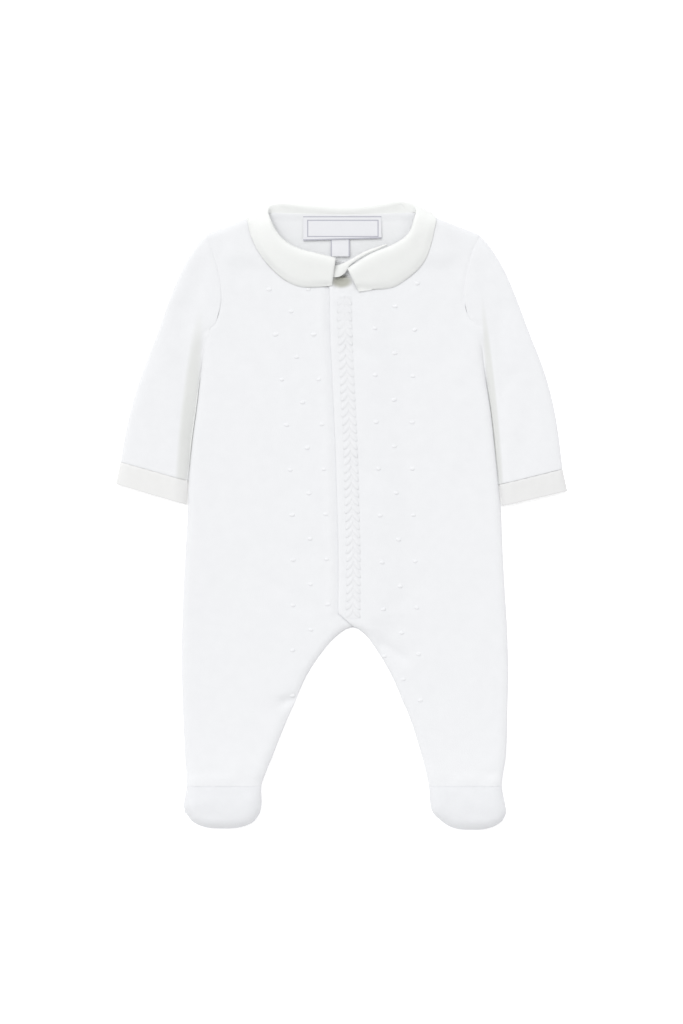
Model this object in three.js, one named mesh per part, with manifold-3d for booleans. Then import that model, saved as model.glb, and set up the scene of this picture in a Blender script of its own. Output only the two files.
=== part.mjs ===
// Footed baby sleepsuit, laid flat on its back, front upwards.
// Millimetres, +Z up. X runs across the garment, Y from the toes to the neck.
// Left and right are as seen from above. Every outline below is measured from
// a point in the middle of the chest, and the last lines move the whole part so
// that its origin is the bottom centre of its box.

import * as THREE from "three";
import { mergeVertices } from "three/addons/utils/BufferGeometryUtils.js";
import Module from "manifold-3d";

// Driving dimensions
const clothThickness = 1.4;
const seamGap = 0.3;
const layer = clothThickness + seamGap;
const bodyThickness = 6.4;
const foldRadius = 6;
const seamShare = 0.45;
const frontLap = 12;
const cuffDepth = 17;
const lapGap = 0.6;
const lapFade = 32;
const crotch = { x: 9, y: -88.4 };
const lapCornerY = -78;
const heelSideY = -192;
const heelRise = 20;
const heelGap = 0.9;
const ankleY = -215.6;
const toeCornerY = -243.6;

// Outlines: x, y, going up in y
const sideSeam = {
  left: [
    [-119.6, -243.6], [-125.2, -237.2], [-126.3, -230.8], [-123.6, -215.6], [-125.2, -190],
    [-126.8, -155.6], [-127.6, -125], [-127.4, -85], [-126, -52], [-124.2, -19.6], [-122.8, 4.4],
    [-122.2, 23.6], [-119, 58.8], [-114.5, 93.5], [-109.2, 146],
  ],
  right: [
    [128.4, -243.6], [131.4, -237.2], [130.6, -230.8], [128.2, -215.6], [131.6, -190],
    [132.6, -155.6], [133.2, -125], [132.2, -88], [130, -52], [128.4, -19.6], [127.4, 4.4],
    [125.4, 23.6], [123.3, 44.4], [119.2, 82.8], [114, 118], [111.6, 151],
  ],
};
const inseam = {
  left: [
    [-69.2, -243.6], [-64.2, -237.2], [-63.4, -230], [-63.8, -215.6], [-59.6, -203.6],
    [-53.2, -187.6], [-43.6, -163.6], [-36.4, -147.6], [-30, -131.6], [-20.4, -115.6],
    [-7.6, -99.6], [0.4, -92.4], [9, -88.4],
  ],
  right: [
    [79.6, -243.6], [73, -237.2], [70.8, -230], [69.6, -215.6], [65.2, -195.6], [60.4, -179.6],
    [55.6, -163.6], [48.4, -147.6], [42, -131.6], [33.2, -115.6], [22.8, -99.6], [16.4, -92.4],
    [9, -88.4],
  ],
};
const armhole = {
  left: [
    [-109.2, 146], [-101.5, 153], [-97.4, 163.6], [-96.6, 176], [-98, 190], [-102.6, 207],
    [-108.4, 224.8],
  ],
  right: [
    [111.6, 151], [103.6, 156], [99.2, 165], [98.4, 177], [99.8, 190], [104, 207], [110, 224.8],
  ],
};
const centreFront = [
  [9, -88.4], [9.4, -35.6], [8.6, 0.4], [6.8, 60.4], [4.4, 110.8], [2.8, 148.4], [2, 205], [2, 240],
];
const toeY = { left: -249.8, right: -250.8 };
const toeSharpness = 3;

// Necklines, from the middle to the shoulder: x, y
const frontNeck = {
  left: [
    [14, 200], [0, 202.5], [-18, 205.5], [-34, 209], [-47.5, 216.5], [-56.5, 228], [-60, 236.6],
    [-65.5, 241.2],
  ],
  right: [
    [-10, 190], [0, 189.8], [8.6, 192.4], [24.6, 204.2], [41.4, 211.8], [54, 220.6], [59.4, 230.6],
    [66.4, 241.3],
  ],
};
const backNeck = {
  left: [[2, 238.4], [-20, 238.6], [-40, 239], [-54, 239.6], [-65.5, 241.2]],
  right: [[2, 238.4], [22, 238.6], [42, 239.2], [56, 239.8], [66.4, 241.3]],
};

// Height of the front over the floor and width of its rounded edge: value, y
const heightAlong = [
  [17, -252], [18.5, -238], [16, -225], [12, -215.6], [10.4, -203], [8.6, -185], [7.4, -160],
  [6.7, -120], [bodyThickness, -60], [bodyThickness, 260],
];
const radiusAlong = [
  [15, -252], [16, -238], [14.5, -225], [11.5, -215.6], [10, -203], [8, -185], [6.8, -160],
  [6.2, -120], [foldRadius, -60], [foldRadius, 260],
];

// Columns of a panel, in distances from its side and from its middle or inseam
const sideColumns = [0, 1.2, 3.4, 7.5];
const middleColumns = [38, 27, 17, 7.5, 3.4, 1.2, 0];
const plainColumns = [7.5, 3.4, 1.2, 0];
const footColumns = [0, 1.5, 5, 11];

// Curves and small sums

function along(rows, y) {
  let k = 0;
  while (k < rows.length - 2 && y > rows[k + 1][1]) k += 1;
  const [from, low] = rows[k];
  const [to, high] = rows[k + 1];
  const before = rows[k - 1] ?? rows[k];
  const after = rows[k + 2] ?? rows[k + 1];
  const run = high - low;
  const leave = (to - before[0]) / (high - before[1]) * run;
  const arrive = (after[0] - from) / (after[1] - low) * run;
  const t = Math.min(1, Math.max(0, (y - low) / run));
  const rise = 3 * t * t - 2 * t * t * t;
  return from + (to - from) * rise + leave * t * (1 - t) * (1 - t) - arrive * t * t * (1 - t);
}

function curveOf(points) {
  return new THREE.SplineCurve(points.map(([x, y]) => new THREE.Vector2(x, y)));
}

function soft(t) {
  const s = Math.min(1, Math.max(0, t));
  return s * s * (3 - 2 * s);
}

// Rise of a folded edge: 0 at the fold, 1 where the cloth lies flat
function roll(t) {
  return t >= 1 ? 1 : Math.sqrt(Math.max(0, 1 - (1 - t) ** 2));
}

function steps(from, to, count, bunch = 1) {
  return Array.from({ length: count + 1 }, (_, k) => from + (to - from) * (1 - (1 - k / count) ** bunch));
}

// Plan points of a row from start to end. Columns keep their distance from the
// ends, and bow moves the middle of the row along y.
function across(start, end, fromStart, fromEnd, between, bow = 0, sharp = 2) {
  const length = Math.hypot(end[0] - start[0], end[1] - start[1]);
  const reach = fromStart.at(-1) + fromEnd[0];
  const shrink = Math.min(1, length / (reach + 8));
  const first = fromStart.map((d) => d * shrink / length);
  const last = fromEnd.map((d) => 1 - d * shrink / length);
  const inner = steps(first.at(-1), last[0], between + 1).slice(1, -1);
  return [...first, ...inner, ...last].map((u) => [
    start[0] + (end[0] - start[0]) * u,
    start[1] + (end[1] - start[1]) * u + bow * (1 - Math.abs(2 * u - 1) ** sharp),
  ]);
}

// Folded edges: a line of points, and for any point the distance to the line
// and the direction into the cloth

function inwardNormals(line, inside) {
  return line.map(([x, y], k) => {
    const [x0, y0] = line[Math.max(0, k - 1)];
    const [x1, y1] = line[Math.min(line.length - 1, k + 1)];
    const length = Math.hypot(x1 - x0, y1 - y0);
    const normal = [-(y1 - y0) / length, (x1 - x0) / length];
    const [ix, iy] = inside(x, y);
    const facing = normal[0] * ix + normal[1] * iy;
    return facing < 0 ? normal.map((n) => -n) : normal;
  });
}

function foldOf(line, inside) {
  return { line, normals: inwardNormals(line, inside) };
}

function nearestFold(point, folds) {
  let best = { distance: Infinity };
  for (const { line, normals } of folds) {
    for (let k = 0; k + 1 < line.length; k += 1) {
      const [x0, y0] = line[k];
      const [x1, y1] = line[k + 1];
      const run = [x1 - x0, y1 - y0];
      const square = run[0] ** 2 + run[1] ** 2;
      const share = ((point[0] - x0) * run[0] + (point[1] - y0) * run[1]) / square;
      const t = Math.min(1, Math.max(0, share));
      const away = [point[0] - x0 - run[0] * t, point[1] - y0 - run[1] * t];
      const distance = Math.hypot(...away);
      if (distance < best.distance - 1e-9) {
        const edge = [0, 1].map((i) => normals[k][i] * (1 - t) + normals[k + 1][i] * t);
        const inward = distance > 0.05 ? away.map((v) => v / distance) : edge;
        best = { distance, inward };
      }
    }
  }
  return best;
}

// Heights of the laid garment

// The back of the collar lies under the back panel, which rises over it
function lift(x, y, start = 201.5) {
  return layer * soft((y - start) / 7) * (1 - soft((Math.abs(x) - 80) / 18));
}

function backLift(x, y) {
  return lift(x, y, 189);
}

function openingX(y) {
  if (y < lapCornerY) {
    const t = (y - crotch.y) / (lapCornerY - crotch.y);
    return crotch.x - (crotch.x - openingX(lapCornerY)) * Math.max(0, t);
  }
  return along(centreFront, y) - frontLap;
}

function underlapX(y) {
  if (y < lapCornerY) {
    const t = (y - crotch.y) / (lapCornerY - crotch.y);
    return crotch.x + (underlapX(lapCornerY) - crotch.x) * Math.max(0, t);
  }
  return along(centreFront, y) + frontLap;
}

// The right front rises by one layer where the left front lies under it
function overlapRise(x, y) {
  const past = Math.max(0, x - underlapX(y) - 4) / lapFade;
  const below = Math.max(0, crotch.y - y) / 11;
  const apex = 1 - soft(Math.hypot(x - crotch.x, y - crotch.y) / 7);
  return (clothThickness + lapGap) * (1 - soft(Math.hypot(past, below))) + lapGap * apex;
}

function topOuter(point, folds, rise) {
  const [x, y] = point;
  const height = along(heightAlong, y);
  const seam = height * seamShare + seamGap / 2;
  const { distance } = nearestFold(point, folds);
  const z = seam + (height - seam) * roll(distance / along(radiusAlong, y));
  return new THREE.Vector3(x, y, z + lift(x, y) + rise(x, y));
}

function insetPoint(point, near, radius) {
  const inset = clothThickness * Math.max(0, 1 - near.distance / radius);
  return [point[0] + near.inward[0] * inset, point[1] + near.inward[1] * inset];
}

function topInner(point, folds, rise) {
  const height = along(heightAlong, point[1]);
  const radius = along(radiusAlong, point[1]);
  const seam = height * seamShare + seamGap / 2;
  const near = nearestFold(point, folds);
  const [x, y] = insetPoint(point, near, radius);
  const z = seam + (height - clothThickness - seam) * roll(near.distance / radius);
  return new THREE.Vector3(x, y, z + lift(...point) + rise(...point));
}

function bottomOuter(point, folds) {
  const [x, y] = point;
  const seam = along(heightAlong, y) * seamShare - seamGap / 2;
  const { distance } = nearestFold(point, folds);
  const z = seam * (1 - roll(distance / along(radiusAlong, y)));
  return new THREE.Vector3(x, y, z + backLift(x, y));
}

function bottomInner(point, folds) {
  const radius = along(radiusAlong, point[1]);
  const seam = along(heightAlong, point[1]) * seamShare - seamGap / 2;
  const near = nearestFold(point, folds);
  const [x, y] = insetPoint(point, near, radius);
  const z = clothThickness + (seam - clothThickness) * (1 - roll(near.distance / radius));
  return new THREE.Vector3(x, y, z + backLift(...point));
}

// Closed walls

function geometryOf(points, faces) {
  const geometry = new THREE.BufferGeometry();
  const positions = new Float32Array(points.flatMap((p) => [p.x, p.y, p.z]));
  geometry.setAttribute("position", new THREE.BufferAttribute(positions, 3));
  geometry.setIndex(faces.flat());
  geometry.computeVertexNormals();
  return geometry;
}

// Joins plan grids where their points meet, all faces counter-clockwise from above
function joinGrids(grids) {
  const points = [];
  const faces = [];
  const places = new Map();
  const place = ([x, y]) => {
    const key = `${x.toFixed(3)} ${y.toFixed(3)}`;
    if (!places.has(key)) {
      places.set(key, points.length);
      points.push([x, y]);
    }
    return places.get(key);
  };
  const add = (a, b, c) => {
    const [[ax, ay], [bx, by], [cx, cy]] = [points[a], points[b], points[c]];
    const turn = (bx - ax) * (cy - ay) - (by - ay) * (cx - ax);
    if (Math.abs(turn) < 1e-6) return;
    faces.push(turn > 0 ? [a, b, c] : [a, c, b]);
  };
  for (const grid of grids) {
    const ids = grid.map((row) => row.map(place));
    for (let r = 0; r + 1 < ids.length; r += 1) {
      for (let c = 0; c + 1 < ids[r].length; c += 1) {
        add(ids[r][c], ids[r][c + 1], ids[r + 1][c + 1]);
        add(ids[r][c], ids[r + 1][c + 1], ids[r + 1][c]);
      }
    }
  }
  return { points, faces };
}

// A wall between two sets of points with the same faces. Its rim closes the open edges.
function wallBetween(upper, lower, faces) {
  const count = upper.length;
  const edges = new Set(faces.flatMap(([a, b, c]) => [`${a} ${b}`, `${b} ${c}`, `${c} ${a}`]));
  const all = faces.flatMap(([a, b, c]) => [[a, b, c], [a + count, c + count, b + count]]);
  for (const edge of edges) {
    const [a, b] = edge.split(" ").map(Number);
    if (!edges.has(`${b} ${a}`)) all.push([b, a, a + count], [b, a + count, b + count]);
  }
  const points = [...upper, ...lower];
  const signed = ([a, b, c]) => points[a].dot(points[b].clone().cross(points[c]));
  const volume = all.reduce((sum, face) => sum + signed(face), 0);
  return geometryOf(points, volume > 0 ? all : all.map(([a, b, c]) => [a, c, b]));
}

function flatGridFaces(rows, columns, closed = false) {
  const faces = [];
  for (let r = 0; r + 1 < rows; r += 1) {
    for (let c = 0; c < (closed ? columns : columns - 1); c += 1) {
      const next = (c + 1) % columns;
      const [low, high] = [r * columns, (r + 1) * columns];
      faces.push([low + c, low + next, high + next], [low + c, high + next, high + c]);
    }
  }
  return faces;
}

// A wall from a grid of points on its outer face, cloth thickness added on the other side
function wallBehind(grid, thickness) {
  const outer = grid.flat();
  const faces = flatGridFaces(grid.length, grid[0].length);
  const shape = geometryOf(outer, faces);
  const normals = shape.getAttribute("normal");
  const inner = outer.map((point, k) => {
    const normal = new THREE.Vector3().fromBufferAttribute(normals, k);
    return point.clone().addScaledVector(normal, -thickness);
  });
  return wallBetween(outer, inner, faces);
}

// Panels

const legRows = 9;
const bodyRows = 9;
const chestRows = 6;
const yokeRows = 6;
const chestY = 150;
const hipY = { crotch: -80, lap: -70 };
const midArmholeY = 190;

const neckCurve = {
  front: { left: curveOf(frontNeck.left), right: curveOf(frontNeck.right) },
  back: { left: curveOf(backNeck.left), right: curveOf(backNeck.right) },
};

// Rows of a half, ankle or heel to shoulder. Each is a side point and a middle point.
function halfRows(side, lowY, middleX, neck) {
  const rows = [];
  const inners = steps(lowY, crotch.y, legRows, 1.5);
  const sides = steps(lowY, hipY.crotch, legRows, 1.15);
  const sideAt = (y) => [along(sideSeam[side], y), y];
  inners.forEach((y, k) => rows.push([sideAt(sides[k]), [along(inseam[side], y), y]]));
  for (const share of [0.2, 0.5, 1]) {
    const y = crotch.y + (lapCornerY - crotch.y) * share;
    rows.push([sideAt(hipY.crotch + (hipY.lap - hipY.crotch) * share), [middleX(y), y]]);
  }
  const top = sideSeam[side].at(-1)[1];
  const bodySides = steps(hipY.lap, top, bodyRows);
  steps(lapCornerY, chestY, bodyRows).slice(1).forEach((y, k) => {
    rows.push([sideAt(bodySides[k + 1]), [middleX(y), y]]);
  });
  const start = neck.getPoint(0);
  const armholeSides = steps(top, midArmholeY, chestRows);
  steps(chestY, start.y, chestRows).slice(1).forEach((y, k) => {
    const at = armholeSides[k + 1];
    const x = k + 1 === chestRows ? start.x : middleX(y);
    rows.push([[along(armhole[side], at), at], [x, y]]);
  });
  const shoulderY = armhole[side].at(-1)[1];
  const yokeSides = steps(midArmholeY, shoulderY, yokeRows, 2);
  steps(0, 1, yokeRows, 2).slice(1).forEach((t, k) => {
    const at = yokeSides[k + 1];
    const point = neck.getPointAt(t);
    rows.push([[along(armhole[side], at), at], [point.x, point.y]]);
  });
  return rows;
}

// Folded outlines of a half: the side, the shoulder and the inseam
function foldsOf(side) {
  const out = side === "left" ? -1 : 1;
  const footYs = steps(toeCornerY, ankleY, 14);
  const sideYs = [...footYs, ...steps(ankleY, sideSeam[side].at(-1)[1], 45).slice(1)];
  const inseamYs = [...footYs, ...steps(ankleY, crotch.y, 30, 1.5).slice(1)];
  const sideLine = sideYs.map((y) => [along(sideSeam[side], y), y]);
  const inseamLine = inseamYs.map((y) => [along(inseam[side], y), y]);
  const shoulderLine = [armhole[side].at(-1), frontNeck[side].at(-1)];
  const toeLine = toeRow(side).slice().reverse();
  return {
    side: foldOf(sideLine, () => [-out, 0]),
    inseam: foldOf(inseamLine, () => [out, 0.4]),
    shoulder: foldOf(shoulderLine, () => [0, -1]),
    toe: foldOf(toeLine, () => [0, 1]),
  };
}

function footEnds(side) {
  const start = [along(sideSeam[side], toeCornerY), toeCornerY];
  const end = [along(inseam[side], toeCornerY), toeCornerY];
  return [start, end];
}

function toeRow(side) {
  const bow = toeY[side] - toeCornerY;
  return across(...footEnds(side), footColumns, footColumns.toReversed(), 3, bow, toeSharpness);
}

const folds = { left: foldsOf("left"), right: foldsOf("right") };

// At the crotch the two inseams share a point, and the way into the cloth is upwards
for (const { inseam: line } of Object.values(folds)) {
  line.normals[line.normals.length - 1] = [0, 1];
}

function frontFolds(side) {
  return [folds[side].side, folds.left.inseam, folds.right.inseam, folds[side].shoulder];
}

const noRise = () => 0;
const frontRise = { left: noRise, right: overlapRise };

function frontGrid(side) {
  const middle = side === "left" ? underlapX : openingX;
  const rows = halfRows(side, ankleY, middle, neckCurve.front[side]);
  return rows.map(([start, end]) => across(start, end, sideColumns, middleColumns, 3));
}

function frontPanel(side) {
  const { points, faces } = joinGrids([frontGrid(side)]);
  const own = frontFolds(side);
  const upper = points.map((p) => topOuter(p, own, frontRise[side]));
  const lower = points.map((p) => topInner(p, own, frontRise[side]));
  return wallBetween(upper, lower, faces);
}

const backFolds = [...frontFolds("left"), ...frontFolds("right")];

function backGrid(side) {
  const middle = (y) => along(centreFront, y);
  const rows = halfRows(side, heelSideY, middle, neckCurve.back[side]);
  return rows.map(([start, end], k) => {
    const bow = heelRise * (1 - soft(k / 4));
    return across(start, end, sideColumns, plainColumns, 4, bow);
  });
}

function backPanel() {
  const { points, faces } = joinGrids([backGrid("left"), backGrid("right")]);
  const upper = points.map((p) => bottomInner(p, backFolds));
  const lower = points.map((p) => bottomOuter(p, backFolds));
  return wallBetween(upper, lower, faces);
}

// Feet: the upper is one cap from the ankle seam over the toe, the sole lies under it

function footGrid(side, lowBow, topY, count) {
  const last = toeY[side] - toeCornerY;
  return steps(0, 1, count, 1.6).map((t) => {
    const y = topY + (toeCornerY - topY) * t;
    const start = [along(sideSeam[side], y), y];
    const end = [along(inseam[side], y), y];
    const bow = lowBow * (1 - soft(t * 1.6)) + last * soft((t - 0.4) / 0.6);
    return across(start, end, footColumns, footColumns.toReversed(), 3, bow, t < 0.4 ? 2 : toeSharpness);
  });
}

function footFolds(side) {
  return [folds[side].side, folds[side].inseam, folds[side].toe];
}

function footUpper(side) {
  const { points, faces } = joinGrids([footGrid(side, 0, ankleY - seamGap, 8)]);
  const own = footFolds(side);
  const upper = points.map((p) => topOuter(p, own, noRise));
  const lower = points.map((p) => topInner(p, own, noRise));
  return wallBetween(upper, lower, faces);
}

function sole(side) {
  const { points, faces } = joinGrids([footGrid(side, heelRise, heelSideY - heelGap, 10)]);
  const own = footFolds(side);
  const upper = points.map((p) => bottomInner(p, own));
  const lower = points.map((p) => bottomOuter(p, own));
  return wallBetween(upper, lower, faces);
}

// Sleeves: flat tubes from the armhole to the cuff seam, and cuffs below it

const sleeveFold = {
  left: [
    [-108.8, 224.6], [-114.4, 220.6], [-121.2, 209.2], [-130, 192.4], [-139.6, 168.4], [-147.6, 144.4],
    [-157.2, 120.4], [-165.2, 96.4], [-171.6, 72.4], [-175.4, 50],
  ],
  right: [
    [110.4, 224.6], [115.2, 220.6], [123.6, 209.2], [132.4, 192.4], [142, 168.4], [150.8, 144.4],
    [160.4, 120.4], [167.6, 96.4], [172.4, 72.4], [175.8, 45],
  ],
};
const cuffSeam = {
  left: { fold: [-176.6, 42.8], arm: [-122.8, 27.6] },
  right: { fold: [176.6, 37.2], arm: [126, 24.6] },
};
const cuffEnd = {
  left: { fold: [-180.4, 25.2], arm: [-124.2, 8.4] },
  right: { fold: [180.4, 19.6], arm: [128.6, 7.4] },
};
const sleeveRows = 10;
const sleeveGap = 0.6;
const ringColumns = [0, 1.5, 6];

// Rings of plan rows, the top face first and then the underside, the ends shared
function tubeWall(rows, height) {
  const seam = height * seamShare;
  const outer = [];
  const inner = [];
  for (const row of rows) {
    const last = row.length - 1;
    const lengthTo = (k, end) => Math.hypot(row[k][0] - row[end][0], row[k][1] - row[end][1]);
    const unit = (from, to) => {
      const length = Math.hypot(to[0] - from[0], to[1] - from[1]);
      return [(to[0] - from[0]) / length, (to[1] - from[1]) / length];
    };
    const fromFold = unit(row[0], row[1]);
    const fromArm = unit(row[last], row[last - 1]);
    const ends = row.map((point, k) => {
      const atFold = lengthTo(k, 0) < lengthTo(k, last);
      const distance = atFold ? lengthTo(k, 0) : lengthTo(k, last);
      const inset = clothThickness * Math.max(0, 1 - distance / foldRadius);
      const way = atFold ? fromFold : fromArm;
      const moved = [point[0] + way[0] * inset, point[1] + way[1] * inset];
      return { point, rise: roll(distance / foldRadius), moved };
    });
    const top = ends.map(({ point, rise }) => new THREE.Vector3(...point, seam + (height - seam) * rise));
    const below = ends.slice(1, -1).reverse();
    const bottom = below.map(({ point, rise }) => new THREE.Vector3(...point, seam * (1 - rise)));
    const innerTop = ends.map(({ moved, rise }) => {
      return new THREE.Vector3(...moved, seam + (height - clothThickness - seam) * rise);
    });
    const innerBottom = below.map(({ moved, rise }) => {
      return new THREE.Vector3(...moved, clothThickness + (seam - clothThickness) * (1 - rise));
    });
    outer.push(...top, ...bottom);
    inner.push(...innerTop, ...innerBottom);
  }
  const columns = outer.length / rows.length;
  return wallBetween(outer, inner, flatGridFaces(rows.length, columns, true));
}

function armholeBow(side, u) {
  const low = armhole[side][0];
  const high = armhole[side].at(-1);
  const y = high[1] + (low[1] - high[1]) * u;
  return along(armhole[side], y) - (high[0] + (low[0] - high[0]) * u);
}

function sleeveRowAt(side, fold, arm, t) {
  const row = across(fold, arm, ringColumns, ringColumns.toReversed(), 3);
  const length = Math.hypot(arm[0] - fold[0], arm[1] - fold[1]);
  const fade = 1 - soft(t / 0.4);
  return row.map(([x, y]) => {
    const u = Math.hypot(x - fold[0], y - fold[1]) / length;
    return [x + armholeBow(side, u) * fade, y];
  });
}

function towards(side) {
  return side === "left" ? -1 : 1;
}

function sleeve(side) {
  const out = towards(side);
  const fold = curveOf([...sleeveFold[side], cuffSeam[side].fold]);
  const low = armhole[side][0];
  const seamPoints = sideSeam[side].filter(([, y]) => y > cuffSeam[side].arm[1] + 8);
  const besideBody = seamPoints.reverse().map(([x, y]) => [x + out * sleeveGap, y]);
  const arm = curveOf([...besideBody, cuffSeam[side].arm]);
  const rows = steps(0, 1, sleeveRows).map((t) => {
    const start = fold.getPointAt(t);
    const end = t === 0 ? new THREE.Vector2(low[0] + out * sleeveGap, low[1]) : arm.getPointAt(t);
    const row = sleeveRowAt(side, [start.x, start.y], [end.x, end.y], t);
    return row.map(([x, y]) => [x + out * seamGap * (1 - t), y]);
  });
  return tubeWall(rows, bodyThickness);
}

function cuff(side) {
  const seam = cuffSeam[side];
  const end = cuffEnd[side];
  const rows = steps(0, 1, 3).map((t) => {
    const at = seamGap / cuffDepth + t * (1 - seamGap / cuffDepth);
    const between = (key) => [0, 1].map((i) => seam[key][i] + (end[key][i] - seam[key][i]) * at);
    const [fold, arm] = [between("fold"), between("arm")];
    return across(fold, arm, ringColumns, ringColumns.toReversed(), 3);
  });
  return tubeWall(rows, bodyThickness);
}

// Collar: stand, roll and leaf in one strip round the neck. At the front the leaf
// lies on the fronts, at the shoulders it turns over, at the back it lies underneath.

// Neck seam x, y, crest x, y, leaf edge x, y and the turn of the leaf: 0 over the
// front, 1 at the shoulder fold, 2 under the back
const collarStations = [
  [-4.9, 204.2, -4.4, 205.6, -7.6, 183.2, 0],
  [-19.2, 207.6, -18.8, 209.2, -28.4, 181.5, 0],
  [-33.8, 211.4, -33.2, 212.6, -44.4, 186.8, 0],
  [-46.4, 218.9, -46, 219.8, -58.8, 199.6, 0],
  [-54.8, 229.4, -53.6, 230, -70, 216.4, 0],
  [-58.2, 238.2, -56, 239.4, -74.6, 232.6, 0.15],
  [-59.6, 240.8, -57, 248, -76.4, 238.6, 0.6],
  [-57.6, 241.4, -54.8, 252, -76, 240.4, 1],
  [-53.6, 240.8, -51, 252.8, -75, 238.8, 1.7],
  [-46.6, 240.2, -45.6, 250.6, -70, 228, 2],
  [-26.4, 239.4, -26, 248.6, -40, 213, 2],
  [3.6, 239.1, 3.6, 246.8, 2, 210, 2],
  [28.4, 239.5, 28, 249, 42, 213.4, 2],
  [46, 240.4, 45, 252.2, 67, 228, 2],
  [54.4, 241.2, 52, 254.2, 71.4, 238.6, 1.7],
  [58.4, 241.8, 57.4, 253.4, 73, 240.6, 1],
  [60.2, 241, 58.6, 248.6, 75, 239.2, 0.6],
  [58.8, 238.2, 56.8, 239.4, 75, 231.8, 0.15],
  [56.6, 230.6, 56.2, 231.4, 69.2, 207.6, 0],
  [52.2, 221.8, 51.6, 223, 61, 195.8, 0],
  [40.4, 214, 39.9, 215.4, 49.2, 186.5, 0],
  [22.8, 206.8, 22, 208.4, 37.2, 180.6, 0],
  [4.8, 195.9, 4.4, 197, 12.9, 180, 0],
];

// Sections from the stand over the roll to the leaf: distance from the crest
// towards the leaf's edge and height over the neck seam
const collarSections = [
  [[0.2, 2], [0, 4.6], [1, 7], [3.6, 8.2], [8, 7.4], [14, 5.2], [21, 3.2]],
  [[6, -3.6], [3, -3.6], [0.7, -2.9], [0, -1.7], [0.8, -0.4], [6, 0], [15, 0]],
  [[5.5, -1.5], [3, -2.5], [0.8, -1.8], [0, 0.2], [0.9, 2.3], [5, 3.1], [18, 3.1]],
];
const neckSeamDrop = 0.4;
const turnPasses = 14;
const foldSeamZ = 4.6;
const backNeckFace = clothThickness + layer;

function splineAt(rows, t) {
  const at = Math.min(rows.length - 1, Math.max(0, t));
  const k = Math.min(rows.length - 2, Math.floor(at));
  return rows[0].map((_, column) => {
    const near = rows.map((row, r) => [row[column], r]).slice(Math.max(0, k - 1), k + 3);
    return along(near, at);
  });
}

function frontTop(x, y) {
  const side = x > openingX(y) ? "right" : "left";
  return topOuter([x, y], frontFolds(side), frontRise[side]).z;
}

function collarRow(t) {
  const [seamX, seamY, crestX, crestY, edgeX, edgeY, turn] = splineAt(collarStations, t);
  const length = Math.hypot(edgeX - crestX, edgeY - crestY);
  const out = [(edgeX - crestX) / length, (edgeY - crestY) / length];
  const side = crestX < 0 ? -1 : 1;
  const sideways = [out[1] * -side, out[0] * side];
  const angle = Math.min(2, Math.max(0, turn)) * Math.PI / 2;
  const rise = frontRise[side < 0 ? "left" : "right"](seamX, seamY);
  const neckEdge = bodyThickness + lift(seamX, seamY) + rise;
  const [seamZ] = splineAt([[neckEdge], [foldSeamZ], [backNeckFace]], turn);
  const section = splineAt(collarSections.map((rows) => rows.flat()), turn);
  const points = [new THREE.Vector3(seamX, seamY, seamZ - neckSeamDrop * Math.max(0, Math.cos(angle)))];
  for (let k = 0; k < section.length; k += 2) {
    const [reach, height] = [section[k], section[k + 1]];
    const x = crestX + out[0] * reach + sideways[0] * height * Math.sin(angle);
    const y = crestY + out[1] * reach + sideways[1] * height * Math.sin(angle);
    points.push(new THREE.Vector3(x, y, seamZ + height * Math.cos(angle)));
  }
  const edgeFall = turn < 1 ? 0 : backNeckFace * Math.cos(angle);
  const edgeZ = turn < 0.5 ? frontTop(edgeX, edgeY) + layer : seamZ + edgeFall;
  points.push(new THREE.Vector3(edgeX, edgeY, edgeZ));
  for (const point of points.slice(4)) {
    if (turn < 0.5) point.z = Math.max(point.z, frontTop(point.x, point.y) + layer);
    point.z = Math.max(0, point.z);
  }
  return points;
}

// Evens out the stand and the roll where the collar turns over at the shoulders
function eased(rows, weights) {
  return rows.map((row, r) => row.map((point, c) => {
    if (r === 0 || r === rows.length - 1 || c === 0 || c > row.length - 3) return point;
    const near = [rows[r - 1][c], rows[r + 1][c], row[c - 1], row[c + 1]];
    const mean = near.reduce((sum, other) => sum.add(other), new THREE.Vector3()).divideScalar(4);
    return point.clone().lerp(mean, weights[r]);
  }));
}

function collar() {
  const count = (collarStations.length - 1) * 2;
  const places = Array.from({ length: count + 1 }, (_, k) => (count - k) / 2);
  const turns = places.map((t) => splineAt(collarStations, t)[6]);
  const weights = turns.map((turn) => 0.6 * soft(turn / 0.3) * soft((2 - turn) / 0.2));
  let rows = places.map(collarRow);
  for (let pass = 0; pass < turnPasses; pass += 1) rows = eased(rows, weights);
  return wallBehind(rows, clothThickness);
}

// Pieces that lie on others, made from the points below them

// Centre line x, y, width and height of the neck band
const neckBandRows = [
  [36, 216, 1.4, 9.4], [29, 213.2, 2.2, 10.2], [20.6, 209.9, 2.8, 10.2], [11.6, 205, 3, 9.8],
  [4.6, 200.9, 3.6, 9.2], [0.4, 198.6, 5.6, 8.8], [-4, 196.4, 7.2, 8.4], [-8, 194.4, 5, 8.2],
];

function neckBand() {
  const rows = neckBandRows.map(([x, y, width, height], k) => {
    const before = neckBandRows[Math.max(0, k - 1)];
    const after = neckBandRows[Math.min(neckBandRows.length - 1, k + 1)];
    const run = Math.hypot(after[0] - before[0], after[1] - before[1]);
    const normal = [-(after[1] - before[1]) / run, (after[0] - before[0]) / run];
    return [-1, 0, 1].map((s) => {
      const crown = 0.6 * (1 - s * s);
      const place = [x + normal[0] * s * width / 2, y + normal[1] * s * width / 2];
      return new THREE.Vector3(...place, height + crown);
    });
  });
  return wallBehind(rows, clothThickness);
}

function flatPiece(corners, bottom, thickness) {
  const shape = new THREE.Shape(corners.map(([x, y]) => new THREE.Vector2(x, y)));
  const geometry = new THREE.ExtrudeGeometry(shape, { depth: thickness, bevelEnabled: false });
  return geometry.translate(0, 0, bottom);
}

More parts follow.
